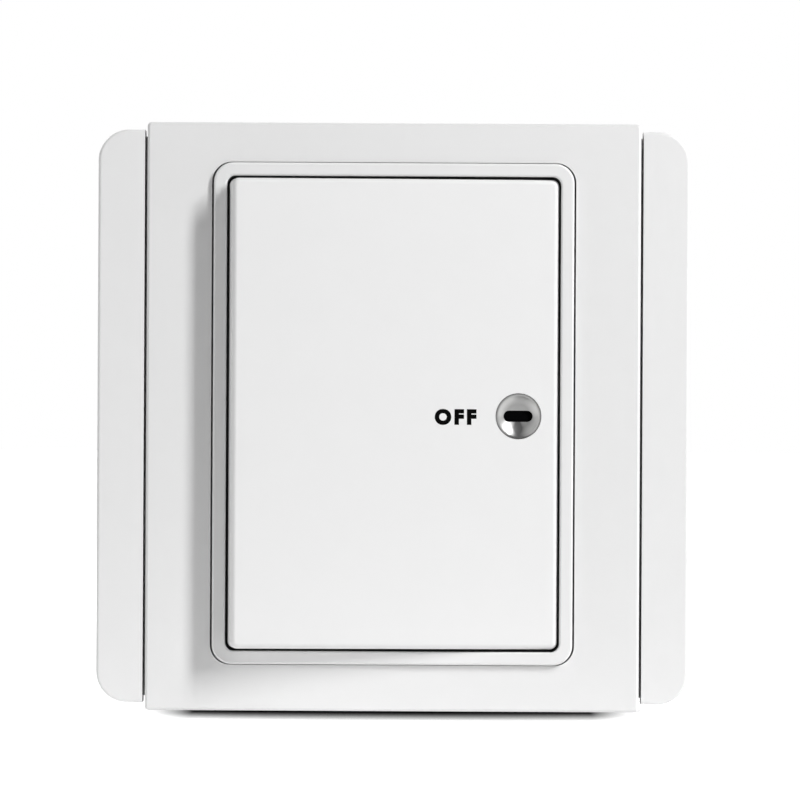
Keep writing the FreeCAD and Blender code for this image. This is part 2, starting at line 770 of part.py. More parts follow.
def make_terminal_screws():
    screws = []
    for across in ("-block_across", "block_across"):
        for side in (1, -1):
            long = value("clamp_seat - clamp_start")
            screw = screw_with_slot(value("clamp_radius"), long, value("clamp_head"),
                                    value("clamp_head_thick"))
            screw.Placement = Placement(
                Vector(value(across), value("clamp_level"), side * value("clamp_seat")),
                Rotation(Vector(0, 0, 1), Vector(0, 0, -side)))
            screws.append(screw)
    group = doc.addObject("Part::Feature", "terminal_screws")
    group.Shape = Part.makeCompound(screws)
    parts.append(group)


def make_fixing_screws():
    screws = []
    for side in (1, -1):
        seat = value("tray_front")
        start = seat - value("thread_start")
        screw = screw_with_slot(value("screw_shank"), start, value("screw_head"),
                                value("screw_head_thick"))
        end = value("screw_long")
        thread = Part.makeCylinder(value("screw_radius"), end - start, Vector(0, 0, start))
        tip = [edge for edge in thread.Edges if abs(edge.BoundBox.ZMin - end) < CLOSE]
        thread = thread.makeChamfer(value("thread_tip"), tip)
        screw = screw.fuse(thread)
        screw.Placement = Placement(Vector(side * value("screw_half"), -seat, 0),
                                    Rotation(Vector(0, 0, 1), Vector(0, 1, 0)))
        screws.append(screw)
    group = doc.addObject("Part::Feature", "fixing_screws")
    group.Shape = Part.makeCompound(screws)
    parts.append(group)


# Mechanism housing

def make_housing():
    body = new_body("mechanism_housing")
    grow(body, "case", "y", "-ledge_front", "housing_back", centred("housing_half", "housing_top"))
    dress(body, "case_corners", "Fillet", "housing_corner", lambda box, middle: along_y(box))
    cut(body, "hollow", "y", "-ledge_front", "housing_floor",
        centred("housing_half - housing_wall", "housing_top - housing_wall"))
    for number, side in enumerate(SIDES):
        pole = f"{side} * pole_up"
        grow(body, f"knife_support_{number}", "y", "strip_back", "housing_floor",
             circle("0", pole, "support_radius"))
        grow(body, f"contact_support_{number}", "y", "strip_back", "housing_floor",
             circle("fixed_across", pole, "support_radius"))
        grow(body, f"arm_stop_{number}", "y", "rest_stop", "housing_floor", rectangle(
            "-arm_left - arm_stop_past", "-arm_left - arm_stop_past + arm_stop_wide",
            f"{pole} - arm_wide / 2", f"{pole} + arm_wide / 2"))
    entries = [(across, side) for across in both("block_across") for side in SIDES]
    for number, (across, side) in enumerate(entries):
        cut(body, f"wire_way_{number}", "y", "housing_floor", "housing_back",
            circle(across, f"{side} * block_up", "wire_radius + wire_clearance"))
        low, high = band(side, "housing_top - housing_wall", "housing_top")
        cut(body, f"driver_way_{number}", "z", low, high,
            circle(across, "clamp_level", "clamp_head + driver_clearance"))
    window_front = "-ledge_front + hook_long - 2 * hook_barb - housing_gap"
    window_back = "-ledge_front + hook_long + housing_gap"
    for number, side in enumerate(SIDES):
        low, high = band(side, "housing_half - housing_wall", "housing_half")
        cut(body, f"side_window_{number}", "x", low, high, rectangle(
            window_front, window_back, "-hook_wide / 2 - housing_gap", "hook_wide / 2 + housing_gap"))
        low, high = band(side, "housing_top - housing_wall", "housing_top")
        cut(body, f"end_window_{number}", "z", low, high, rectangle(
            "-hook_wide / 2 - housing_gap", "hook_wide / 2 + housing_gap", window_front, window_back))
    parts.append(body)


# Lamp, board and leads

def make_lamp():
    board = new_body("lamp_board")
    grow(board, "board", "y", "-ledge_front", "board_back",
         rectangle("board_right - board_wide", "board_right", "-board_long / 2", "board_long / 2"))
    parts.append(board)
    lamp = new_body("indicator_lamp")
    grow(lamp, "lamp", "y", "-ledge_front - lamp_long", "-ledge_front",
         circle("lamp_across", "lamp_up", "lamp_radius"))
    level = value("-ledge_front - lamp_long")
    dress(lamp, "lamp_dome", "Fillet", "lamp_radius - dome_flat",
          lambda box, middle: at_level(box, level))
    parts.append(lamp)
    resistor = new_body("lamp_resistor")
    grow(resistor, "resistor", "z", "-resistor_long / 2", "resistor_long / 2",
         circle("board_right - board_wide / 2", "board_back + resistor_radius", "resistor_radius"))
    parts.append(resistor)
    leads = doc.addObject("Part::Feature", "lamp_leads")
    leads.Shape = Part.makeCompound([make_lead(side) for side in (1, -1)])
    parts.append(leads)


def make_lead(side):
    """A wire from the board back to a load strip, with two round bends."""
    across = value("lead_across")
    start, stop = value("board_back"), value("strip_front")
    low, high = value("board_long / 2 - lead_inset"), value("strip_near + lead_foot")
    third = (stop - start) / 3
    points = [Vector(across, start, side * low), Vector(across, start + third, side * low),
              Vector(across, stop - third, side * high), Vector(across, stop, side * high)]
    return round_pipe(points, value("lead_radius"))


BEND_SHARE = 0.4


def round_pipe(points, radius):
    """Sweep a circle along straight runs joined by tangent arcs."""
    edges = []
    here = points[0]
    for before, corner, after in zip(points, points[1:], points[2:]):
        back = (before - corner).normalize()
        ahead = (after - corner).normalize()
        setback = BEND_SHARE * min((before - corner).Length, (after - corner).Length)
        enter, leave = corner + back * setback, corner + ahead * setback
        half = back.getAngle(ahead) / 2
        middle_line = (back + ahead).normalize()
        bend = setback * math.tan(half)
        middle = corner + middle_line * (setback / math.cos(half) - bend)
        edges.append(Part.LineSegment(here, enter).toShape())
        edges.append(Part.Arc(enter, middle, leave).toShape())
        here = leave
    edges.append(Part.LineSegment(here, points[-1]).toShape())
    path = Part.Wire(edges)
    direction = (points[1] - points[0]).normalize()
    profile = Part.Wire([Part.makeCircle(radius, points[0], direction)])
    return path.makePipeShell([profile], True, False)


make_base_plate()
make_front_cover()
make_mechanism_frame()
make_rocker_cap()
make_rocker_carrier()
make_indicator()
make_plungers()
make_contact_arms()
make_poles()
make_terminal_screws()
make_fixing_screws()
make_housing()
make_lamp()
doc.recompute()

# Checks, then one STEP file for each piece

for item in doc.Objects:
    if "Invalid" in item.State or "Error" in item.State:
        raise RuntimeError(f"{item.Label} failed: {item.State}")
for part in parts:
    if part.Shape.isNull() or not part.Shape.isValid():
        raise RuntimeError(f"{part.Label} has no valid shape")

os.makedirs("parts", exist_ok=True)
for part in parts:
    part.Shape.exportStep(f"parts/{part.Label}.step")
    print(f"{part.Label}: {len(part.Shape.Solids)} solid, {part.Shape.Volume:.1f} mm3")
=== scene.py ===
"""Dresses the double-pole rocker wall switch and sets it on a plain pale floor."""

import json
import logging
import math
from dataclasses import dataclass
from enum import Enum
from typing import Any

import bmesh
import bpy
from mathutils import Matrix, Vector

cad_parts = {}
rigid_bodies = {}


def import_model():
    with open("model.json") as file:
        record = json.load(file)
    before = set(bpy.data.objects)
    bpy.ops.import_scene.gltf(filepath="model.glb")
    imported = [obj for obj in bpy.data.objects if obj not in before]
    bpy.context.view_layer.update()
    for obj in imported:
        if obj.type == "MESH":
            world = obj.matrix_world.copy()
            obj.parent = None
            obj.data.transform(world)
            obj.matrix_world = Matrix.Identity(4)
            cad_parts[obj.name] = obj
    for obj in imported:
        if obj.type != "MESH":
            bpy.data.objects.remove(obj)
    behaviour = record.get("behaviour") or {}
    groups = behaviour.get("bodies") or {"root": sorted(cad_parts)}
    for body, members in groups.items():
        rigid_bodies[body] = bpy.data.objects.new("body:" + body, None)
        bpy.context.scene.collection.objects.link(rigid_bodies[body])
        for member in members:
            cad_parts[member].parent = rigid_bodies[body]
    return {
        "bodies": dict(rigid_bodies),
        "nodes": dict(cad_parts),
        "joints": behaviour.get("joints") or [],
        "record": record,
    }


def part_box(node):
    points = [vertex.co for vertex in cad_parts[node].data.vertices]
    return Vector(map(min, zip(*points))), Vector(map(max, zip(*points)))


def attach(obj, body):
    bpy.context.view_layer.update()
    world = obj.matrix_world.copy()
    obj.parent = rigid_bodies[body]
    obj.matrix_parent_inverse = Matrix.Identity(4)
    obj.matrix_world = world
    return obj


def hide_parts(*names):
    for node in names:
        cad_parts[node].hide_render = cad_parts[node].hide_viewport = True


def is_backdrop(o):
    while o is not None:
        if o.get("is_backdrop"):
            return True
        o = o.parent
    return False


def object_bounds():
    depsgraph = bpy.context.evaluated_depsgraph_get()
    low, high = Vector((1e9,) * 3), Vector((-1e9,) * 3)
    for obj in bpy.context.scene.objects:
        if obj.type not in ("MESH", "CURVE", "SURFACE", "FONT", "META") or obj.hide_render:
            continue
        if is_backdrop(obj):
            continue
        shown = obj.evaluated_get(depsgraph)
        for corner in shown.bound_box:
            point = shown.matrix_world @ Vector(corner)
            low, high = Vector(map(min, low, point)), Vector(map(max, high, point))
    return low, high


LOG = logging.getLogger("wall_switch")
MM = 0.001
QUARTER = math.radians(90)
FULL_TURN = 2 * math.pi

# How many finer layers a noise has.
SOFT_DETAIL = 2.0
FINE_DETAIL = 3.0
SCRATCH_DETAIL = 4.0

# Where a Mix node keeps its two colours and its result.
MIX_FIRST, MIX_SECOND, MIX_RESULT = 6, 7, 2

# Refractive index of the switch's plastics.
PLASTIC_INDEX = 1.49

# How near two corners of a new mesh are when they are one.
THREAD_MERGE = 0.002 * MM
TURNED_MERGE = 0.001 * MM

# Length of a driver slot's cutter, in radii of the screw's head.
CUTTER_RADII = 3


class Body(Enum):
    """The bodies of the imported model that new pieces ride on."""

    ROOT = "root"
    ROCKER = "rocker"


class Signal:
    """A value inside a material that Python's operators can work on."""

    def __init__(self, wiring: "Wiring", socket: bpy.types.NodeSocket) -> None:
        """Wrap an output socket.

        Args:
            wiring: The wiring that the socket belongs to.
            socket: The output that carries the value.
        """
        self.wiring = wiring
        self.socket = socket

    def _math(self, operation: str, *inputs: Any) -> "Signal":
        """Add a Math node with these inputs and return its value."""
        node = self.wiring.node("ShaderNodeMath", {"operation": operation}, *inputs)
        return Signal(self.wiring, node.outputs[0])

    def __add__(self, other: Any) -> "Signal":
        """Return self + other."""
        return self._math("ADD", self, other)

    def __radd__(self, other: Any) -> "Signal":
        """Return other + self."""
        return self._math("ADD", other, self)

    def __sub__(self, other: Any) -> "Signal":
        """Return self - other."""
        return self._math("SUBTRACT", self, other)

    def __rsub__(self, other: Any) -> "Signal":
        """Return other - self."""
        return self._math("SUBTRACT", other, self)

    def __mul__(self, other: Any) -> "Signal":
        """Return self * other."""
        return self._math("MULTIPLY", self, other)

    def __rmul__(self, other: Any) -> "Signal":
        """Return other * self."""
        return self._math("MULTIPLY", other, self)

    def __truediv__(self, other: Any) -> "Signal":
        """Return self / other."""
        return self._math("DIVIDE", self, other)

    def __pow__(self, other: Any) -> "Signal":
        """Return self raised to other."""
        return self._math("POWER", self, other)

    def sine(self) -> "Signal":
        """Return the sine of the value, in radians."""
        return self._math("SINE", self)

    def clamp(self) -> "Signal":
        """Return the value held between 0 and 1."""
        return self._math("MINIMUM", self._math("MAXIMUM", self, 0.0), 1.0)


class Wiring:
    """Adds and joins the nodes of one material, light or world."""

    def __init__(self, tree: bpy.types.NodeTree) -> None:
        """Start from an empty node tree.

        Args:
            tree: The tree to fill; what it holds is cleared.
        """
        self.tree = tree
        tree.nodes.clear()

    def node(self, kind: str, settings: dict[str, Any] | None = None,
             *inputs: Any, **named: Any) -> Any:
        """Add a node, set it up and feed its sockets.

        Args:
            kind: The node's type.
            settings: Properties of the node, set before its sockets.
            *inputs: Values or links for its first sockets, in order; None leaves one alone.
            **named: Values or links by socket name, with underscores for spaces.

        Returns:
            The new node.
        """
        node = self.tree.nodes.new(kind)
        for key, setting in (settings or {}).items():
            setattr(node, key, setting)
        for socket, content in zip(node.inputs, inputs):
            self.feed(socket, content)
        for key, content in named.items():
            self.feed(node.inputs[key.replace("_", " ")], content)
        return node

    def feed(self, socket: bpy.types.NodeSocket, content: Any) -> None:
        """Link a socket or set its value.

        Args:
            socket: The input to feed.
            content: A Signal, an output socket, a value, or None to leave it alone.
        """
        if content is None:
            return
        if isinstance(content, Signal):
            content = content.socket
        if isinstance(content, bpy.types.NodeSocket):
            self.tree.links.new(content, socket)
        else:
            socket.default_value = content

    def signal(self, kind: str, output: int | str, settings: dict[str, Any] | None = None,
               *inputs: Any, **named: Any) -> Signal:
        """Add a node and return one of its outputs as a Signal."""
        return Signal(self, self.node(kind, settings, *inputs, **named).outputs[output])

    def seen_directly(self) -> Signal:
        """Tell what is seen from what only lights the switch.

        Returns:
            1 where the camera, a gloss or a clear piece sees the surface, else 0.
        """
        path = self.node("ShaderNodeLightPath")
        camera = Signal(self, path.outputs["Is Camera Ray"])
        gloss = Signal(self, path.outputs["Is Glossy Ray"])
        clear = Signal(self, path.outputs["Is Transmission Ray"])
        return (camera + gloss + clear).clamp()

    def place(self) -> bpy.types.NodeSocket:
        """Return the object coordinates, which are metres in the model's frame."""
        return self.node("ShaderNodeTexCoord").outputs["Object"]

    def noise(self, size: float, detail: float = SOFT_DETAIL, place: Any = None) -> Signal:
        """Add a noise texture.

        Args:
            size: About how large its features are, in metres.
            detail: How many finer layers it has.
            place: The coordinates it reads, or None for the object's own.

        Returns:
            The noise, from 0 to 1.
        """
        where = place or self.place()
        return self.signal("ShaderNodeTexNoise", "Fac", None,
                           Vector=where, Scale=1.0 / size, Detail=detail)

    def blend(self, mask: Any, first: Any, second: Any) -> bpy.types.NodeSocket:
        """Mix two colours.

        Args:
            mask: How much of the second shows, from 0 to 1.
            first: The colour where the mask is 0.
            second: The colour where the mask is 1.

        Returns:
            The output that carries the mixed colour.
        """
        node = self.node("ShaderNodeMix", {"data_type": "RGBA"})
        self.feed(node.inputs["Factor"], mask)
        self.feed(node.inputs[MIX_FIRST], first)
        self.feed(node.inputs[MIX_SECOND], second)
        return node.outputs[MIX_RESULT]

    def bump(self, height: Signal, depth: float) -> bpy.types.NodeSocket:
        """Return a normal from a height between 0 and 1 and its depth in metres."""
        node = self.node("ShaderNodeBump", None, Height=height, Distance=depth, Strength=1.0)
        return node.outputs[0]


def grey(level: float) -> tuple[float, float, float, float]:
    """Return a neutral colour of this level."""
    return (level, level, level, 1.0)


def scaled(colour: tuple[float, ...], share: float) -> tuple[float, ...]:
    """Return the colour with each channel at this share of itself, at most 1."""
    return tuple(min(channel * share, 1.0) for channel in colour[:3]) + (1.0,)


@dataclass(frozen=True)
class Finish:
    """What every surface finish shares: a name, a colour and how rough it is."""

    name: str
    colour: tuple[float, float, float, float]
    roughness: float = 0.4

    def wire(self, wiring: Wiring) -> dict[str, Any]:
        """Return what feeds the surface shader's sockets."""
        raise NotImplementedError

    def material(self) -> bpy.types.Material:
        """Make this finish's material, or find it where a piece already has it.

        Returns:
            The material.
        """
        existing = bpy.data.materials.get(self.name)
        if existing:
            return existing
        material = bpy.data.materials.new(self.name)
        material.use_nodes = True
        wiring = Wiring(material.node_tree)
        shader = wiring.node("ShaderNodeBsdfPrincipled")
        for socket, content in self.wire(wiring).items():
            wiring.feed(shader.inputs[socket], content)
        wiring.node("ShaderNodeOutputMaterial", None, Surface=shader.outputs[0])
        return material


@dataclass(frozen=True)
class Moulding(Finish):
    """Moulded plastic with a fine spark-eroded grain and a little uneven sheen."""

    mottle: float = 0.01
    grain: float = 0.12 * MM
    grain_depth: float = 0.0015 * MM
    unevenness: float = 6 * MM
    cloud_sheen: float = 0.06
    grain_sheen: float = 0.05

    def wire(self, wiring: Wiring) -> dict[str, Any]:
        """Wire the plastic's slight mottle, sheen and grain.

        Args:
            wiring: The material's wiring.

        Returns:
            What feeds each socket of the surface shader.
        """
        cloud = wiring.noise(self.unevenness, FINE_DETAIL)
        grain = wiring.noise(self.grain, FINE_DETAIL)
        darker = scaled(self.colour, 1 - self.mottle)
        lighter = scaled(self.colour, 1 + self.mottle)
        sheen = self.cloud_sheen * (cloud - 0.5) + self.grain_sheen * (grain - 0.5)
        return {
            "Base Color": wiring.blend(cloud, darker, lighter),
            "Roughness": self.roughness + sheen,
            "IOR": PLASTIC_INDEX,
            "Normal": wiring.bump(grain, self.grain_depth),
        }


@dataclass(frozen=True)
class ShadedMoulding(Moulding):
    """Moulded plastic with painted shade between two depths, on the walls of the gap round the
    rocker.
    """

    front: float = -8.95 * MM
    back: float = -1.3 * MM
    fade: float = 0.5 * MM
    # Colour of the painted shade on the gap's walls.
    depth_colour: tuple[float, float, float, float] = grey(0.05)

    def wire(self, wiring: Wiring) -> dict[str, Any]:
        """Wire the plastic with painted shade on the walls of its gap.

        Args:
            wiring: The material's wiring.

        Returns:
            What feeds each socket of the surface shader.
        """
        sockets = super().wire(wiring)
        axes = wiring.node("ShaderNodeSeparateXYZ", None, wiring.place())
        along = Signal(wiring, axes.outputs[1])
        # Painted shade: the colour goes dark between the two depths, where the gap round the rocker
        # lies in shade.
        behind_front = ((along - self.front) / self.fade).clamp()
        inside = behind_front * ((self.back - along) / self.fade).clamp()
        sockets["Base Color"] = wiring.blend(inside, sockets["Base Color"], self.depth_colour)
        return sockets


@dataclass(frozen=True)
class TurnedMetal(Finish):
    """Bright metal turned on a lathe, with fine rings about its own axis.

    Its colour carries a painted reflection, dark in a narrow fan below the axis, painted shade
    round the lens, and a painted shadow line along the rim.
    """

    centre: tuple[float, float, float] = (0.0, 0.0, 0.0)
    turn: float = 0.0
    ring_pitch: float = 0.12 * MM
    ring_sheen: float = 0.07
    drift_size: float = 0.9 * MM
    drift_sheen: float = 0.05
    drift_share: float = 0.4
    relief: float = 0.0025 * MM
    dull: float = 0.85
    # Strength and spread of the painted dark reflection below the axis, the painted shade round the
    # lens and the painted shadow line along the rim.
    wedge: float = 1.0
    wedge_power: float = 12.0
    patch: float = 0.5
    patch_reach: float = 2.6 * MM
    patch_fade: float = 0.8 * MM
    rim: float = 0.7
    rim_start: float = 2.95 * MM
    rim_fade: float = 0.3 * MM
    dark_colour: tuple[float, float, float, float] = grey(0.08)

    def wire(self, wiring: Wiring) -> dict[str, Any]:
        """Wire the rings, the painted reflection and shade, and the sheen.

        Args:
            wiring: The material's wiring.

        Returns:
            What feeds each socket of the surface shader.
        """
        place = wiring.node("ShaderNodeVectorMath", {"operation": "SUBTRACT"},
                            wiring.place(), self.centre)
        turned = wiring.node("ShaderNodeVectorRotate", {"rotation_type": "Z_AXIS"},
                             place.outputs[0])
        wiring.feed(turned.inputs["Angle"], -self.turn)
        axes = wiring.node("ShaderNodeSeparateXYZ", None, turned.outputs[0])
        across = Signal(wiring, axes.outputs[0])
        up = Signal(wiring, axes.outputs[2])
        radius = (across * across + up * up) ** 0.5
        ring = (radius * (FULL_TURN / self.ring_pitch)).sine() * 0.5 + 0.5
        drift = wiring.noise(self.drift_size, FINE_DETAIL)
        # Painted reflection and shade: a dark fan below the axis, darker round the lens, and a dark
        # line at the rim.
        below = (0.0 - up / radius).clamp() ** self.wedge_power
        painted_lens_shade = ((self.patch_reach - radius) / self.patch_fade).clamp()
        painted_rim_shade = ((radius - self.rim_start) / self.rim_fade).clamp()
        dark = (below * self.wedge + painted_lens_shade * self.patch + painted_rim_shade * self.rim).clamp()
        bright = wiring.blend(drift, scaled(self.colour, self.dull), self.colour)
        height = ring * (1 - self.drift_share) + drift * self.drift_share
        return {
            "Base Color": wiring.blend(dark, bright, self.dark_colour),
            "Metallic": 1.0,
            "Roughness": self.roughness + self.ring_sheen * ring + self.drift_sheen * (drift - 0.5),
            "Normal": wiring.bump(height, self.relief),
        }


@dataclass(frozen=True)
class Metal(Finish):
    """Stamped, plated or drawn metal with a fine lie of scratches."""

    scratch: float = 0.2 * MM
    scratch_squeeze: tuple[float, float, float] = (1.0, 6.0, 1.0)
    scratch_depth: float = 0.003 * MM
    scratch_sheen: float = 0.15
    tarnish: float = 0.12
    tarnish_size: float = 2 * MM
    tarnish_sheen: float = 0.1

    def wire(self, wiring: Wiring) -> dict[str, Any]:
        """Wire the metal's scratches and faint tarnish.

        Args:
            wiring: The material's wiring.

        Returns:
            What feeds each socket of the surface shader.
        """
        squeezed = wiring.node("ShaderNodeMapping", None, wiring.place(), None, None,
                               self.scratch_squeeze)
        scratches = wiring.noise(self.scratch, SCRATCH_DETAIL, squeezed.outputs[0])
        cloud = wiring.noise(self.tarnish_size, FINE_DETAIL)
        sheen = self.scratch_sheen * (scratches - 0.5) + self.tarnish_sheen * (cloud - 0.5)
        return {
            "Base Color": wiring.blend(cloud, scaled(self.colour, 1 - self.tarnish), self.colour),
            "Metallic": 1.0,
            "Roughness": self.roughness + sheen,
            "Normal": wiring.bump(scratches, self.scratch_depth),
        }


@dataclass(frozen=True)
class ClearMoulding(Finish):
    """Clear plastic, faintly clouded."""

    cloud_size: float = 1 * MM
    cloud_colour: tuple[float, float, float, float] = grey(0.98)
    cloud_sheen: float = 0.04
    clearness: float = 0.85

    def wire(self, wiring: Wiring) -> dict[str, Any]:
        """Wire a clear body with slightly uneven gloss.

        Args:
            wiring: The material's wiring.

        Returns:
            What feeds each socket of the surface shader.
        """
        cloud = wiring.noise(self.cloud_size)
        return {
            "Base Color": wiring.blend(cloud, self.colour, self.cloud_colour),
            "Roughness": self.roughness + self.cloud_sheen * cloud,
            "Transmission Weight": self.clearness,
            "IOR": PLASTIC_INDEX,
        }


@dataclass(frozen=True)
class SmokedLens(Finish):
    """The dark unlit lens of the indicator."""

    cloud_size: float = 0.6 * MM
    cloud_depth: float = 0.002 * MM
    cloud_sheen: float = 0.05
    lighter: float = 1.6

    def wire(self, wiring: Wiring) -> dict[str, Any]:
        """Wire a near-black surface with faint moulding marks.

        Args:
            wiring: The material's wiring.

        Returns:
            What feeds each socket of the surface shader.
        """
        cloud = wiring.noise(self.cloud_size)
        return {
            "Base Color": wiring.blend(cloud, self.colour, scaled(self.colour, self.lighter)),
            "Roughness": self.roughness + self.cloud_sheen * cloud,
            "Specular IOR Level": 0.0,
            "Normal": wiring.bump(cloud, self.cloud_depth),
        }


@dataclass(frozen=True)
class CircuitBoard(Finish):
    """Glass-fibre board with its weave just showing through the lacquer."""

    weave: float = 0.5 * MM
    weave_depth: float = 0.008 * MM
    weave_sheen: float = 0.1
    lighter: float = 1.5

    def wire(self, wiring: Wiring) -> dict[str, Any]:
        """Wire crossing threads under a green lacquer.

        Args:
            wiring: The material's wiring.

        Returns:
            What feeds each socket of the surface shader.
        """
        axes = wiring.node("ShaderNodeSeparateXYZ", None, wiring.place())
        step = FULL_TURN / self.weave
        warp = (Signal(wiring, axes.outputs[0]) * step).sine() * 0.5 + 0.5
        weft = (Signal(wiring, axes.outputs[2]) * step).sine() * 0.5 + 0.5
        cloth = warp * weft
        return {
            "Base Color": wiring.blend(cloth, self.colour, scaled(self.colour, self.lighter)),
            "Roughness": self.roughness + self.weave_sheen * cloth,
            "Normal": wiring.bump(cloth, self.weave_depth),
        }


@dataclass(frozen=True)
class PrintInk(Finish):
    """Pad-printed ink, slightly thin in places."""

    cover_size: float = 0.2 * MM
    cover_depth: float = 0.001 * MM
    cover_sheen: float = 0.1
    lighter: float = 1.8
    gloss: float = 0.02

    def wire(self, wiring: Wiring) -> dict[str, Any]:
        """Wire a flat black with a faint uneven cover.

        Args:
            wiring: The material's wiring.

        Returns:
            What feeds each socket of the surface shader.
        """
        cover = wiring.noise(self.cover_size, FINE_DETAIL)
        return {
            "Base Color": wiring.blend(cover, self.colour, scaled(self.colour, self.lighter)),
            "Roughness": self.roughness + self.cover_sheen * (cover - 0.5),
            "Specular IOR Level": self.gloss,
            "Normal": wiring.bump(cover, self.cover_depth),
        }


WING_WHITE = Moulding("wing_plastic", grey(0.845), 0.42)
COVER_WHITE = Moulding("cover_plastic", grey(0.825), 0.42)
# The frame's plastic carries painted shade on the walls of the gap round the rocker.
FRAME_WHITE = ShadedMoulding("frame_plastic", grey(0.84), 0.38)
ROCKER_WHITE = Moulding("rocker_plastic", grey(0.835), 0.40)
INNER_GREY = Moulding("carrier_plastic", (0.48, 0.49, 0.50, 1.0), 0.5)
HOUSING = Moulding("housing_plastic", (0.70, 0.705, 0.71, 1.0), 0.5,
                   grain=0.3 * MM, grain_depth=0.006 * MM)
LENS = SmokedLens("smoked_lens", (0.002, 0.002, 0.0022, 1.0), 0.3)
CLEAR = ClearMoulding("clear_moulding", (0.92, 0.94, 0.95, 1.0), 0.08)
BOARD = CircuitBoard("lacquered_board", (0.02, 0.12, 0.05, 1.0), 0.35)
LACQUER = Moulding("resistor_lacquer", (0.50, 0.36, 0.20, 1.0), 0.35)
SLEEVE = Moulding("lead_sleeve", (0.45, 0.02, 0.02, 1.0), 0.4)
STEEL = Metal("zinc_plate", (0.46, 0.46, 0.45, 1.0), 0.32)
SPRING = Metal("spring_wire", grey(0.38), 0.3)
COPPER = Metal("stamped_copper", (0.80, 0.43, 0.25, 1.0), 0.3)
SILVER = Metal("contact_silver", (0.85, 0.84, 0.80, 1.0), 0.25)
BRASS = Metal("terminal_brass", (0.78, 0.58, 0.25, 1.0), 0.28)
INK = PrintInk("print_ink", grey(0.001), 0.6)


def finish_piece(mesh: bpy.types.Mesh, name: str, body: Body, finish: Finish) -> bpy.types.Object:
    """Put a finished mesh in the scene as a piece that rides on a body.

    Args:
        mesh: The mesh, already in its place.
        name: The piece's name.
        body: The body it moves with.
        finish: Its surface.

    Returns:
        The new object.
    """
    piece = bpy.data.objects.new(name, mesh)
    bpy.context.scene.collection.objects.link(piece)
    mesh.materials.clear()
    mesh.materials.append(finish.material())
    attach(piece, body.value)
    LOG.info("piece %s: %d faces on %s", name, len(mesh.polygons), body.value)
    return piece


def lettering(text: str, high: float, thick: float, bold: float,
              spacing: float = 1.0, curve_steps: int = 6) -> bpy.types.Mesh:
    """Make raised letters as a mesh, centred, standing in the XZ plane and facing -Y.

    Args:
        text: What it says.
        high: Height of the capitals in metres.
        thick: How far the letters stand proud.
        bold: How much wider each stroke is made on each side.
        spacing: Spacing of the letters, 1 as the font has it.
        curve_steps: Steps along each bend of a letter.

    Returns:
        The mesh.
    """
    curve = bpy.data.curves.new(f"{text}_outline", "FONT")
    curve.body = text
    curve.align_x = "CENTER"
    curve.align_y = "CENTER"
    curve.size = 1.0
    curve.space_character = spacing
    curve.resolution_u = curve_steps
    holder = bpy.data.objects.new(f"{text}_holder", curve)
    bpy.context.scene.collection.objects.link(holder)
    bpy.context.view_layer.update()
    cap = holder.dimensions.y
    curve.size = (high - 2 * bold) / cap
    curve.extrude = thick / 2
    curve.offset = bold
    bpy.context.view_layer.update()
    graph = bpy.context.evaluated_depsgraph_get()
    mesh = bpy.data.meshes.new_from_object(holder.evaluated_get(graph))
    bpy.data.objects.remove(holder)
    bpy.data.curves.remove(curve)
    across = [vertex.co.x for vertex in mesh.vertices]
    up = [vertex.co.y for vertex in mesh.vertices]
    middle = Vector(((min(across) + max(across)) / 2, (min(up) + max(up)) / 2, 0.0))
    mesh.transform(Matrix.Rotation(QUARTER, 4, "X") @ Matrix.Translation(-middle))
    return mesh


@dataclass
class WallPlate:
    """The base plate with its wings, and the cover that clips over it."""

    frame: dict[str, Any]

    def build(self) -> None:
        """Dress the plate and the cover."""
        dress_node(self.frame, "base_plate", WING_WHITE)
        dress_node(self.frame, "front_cover", COVER_WHITE)


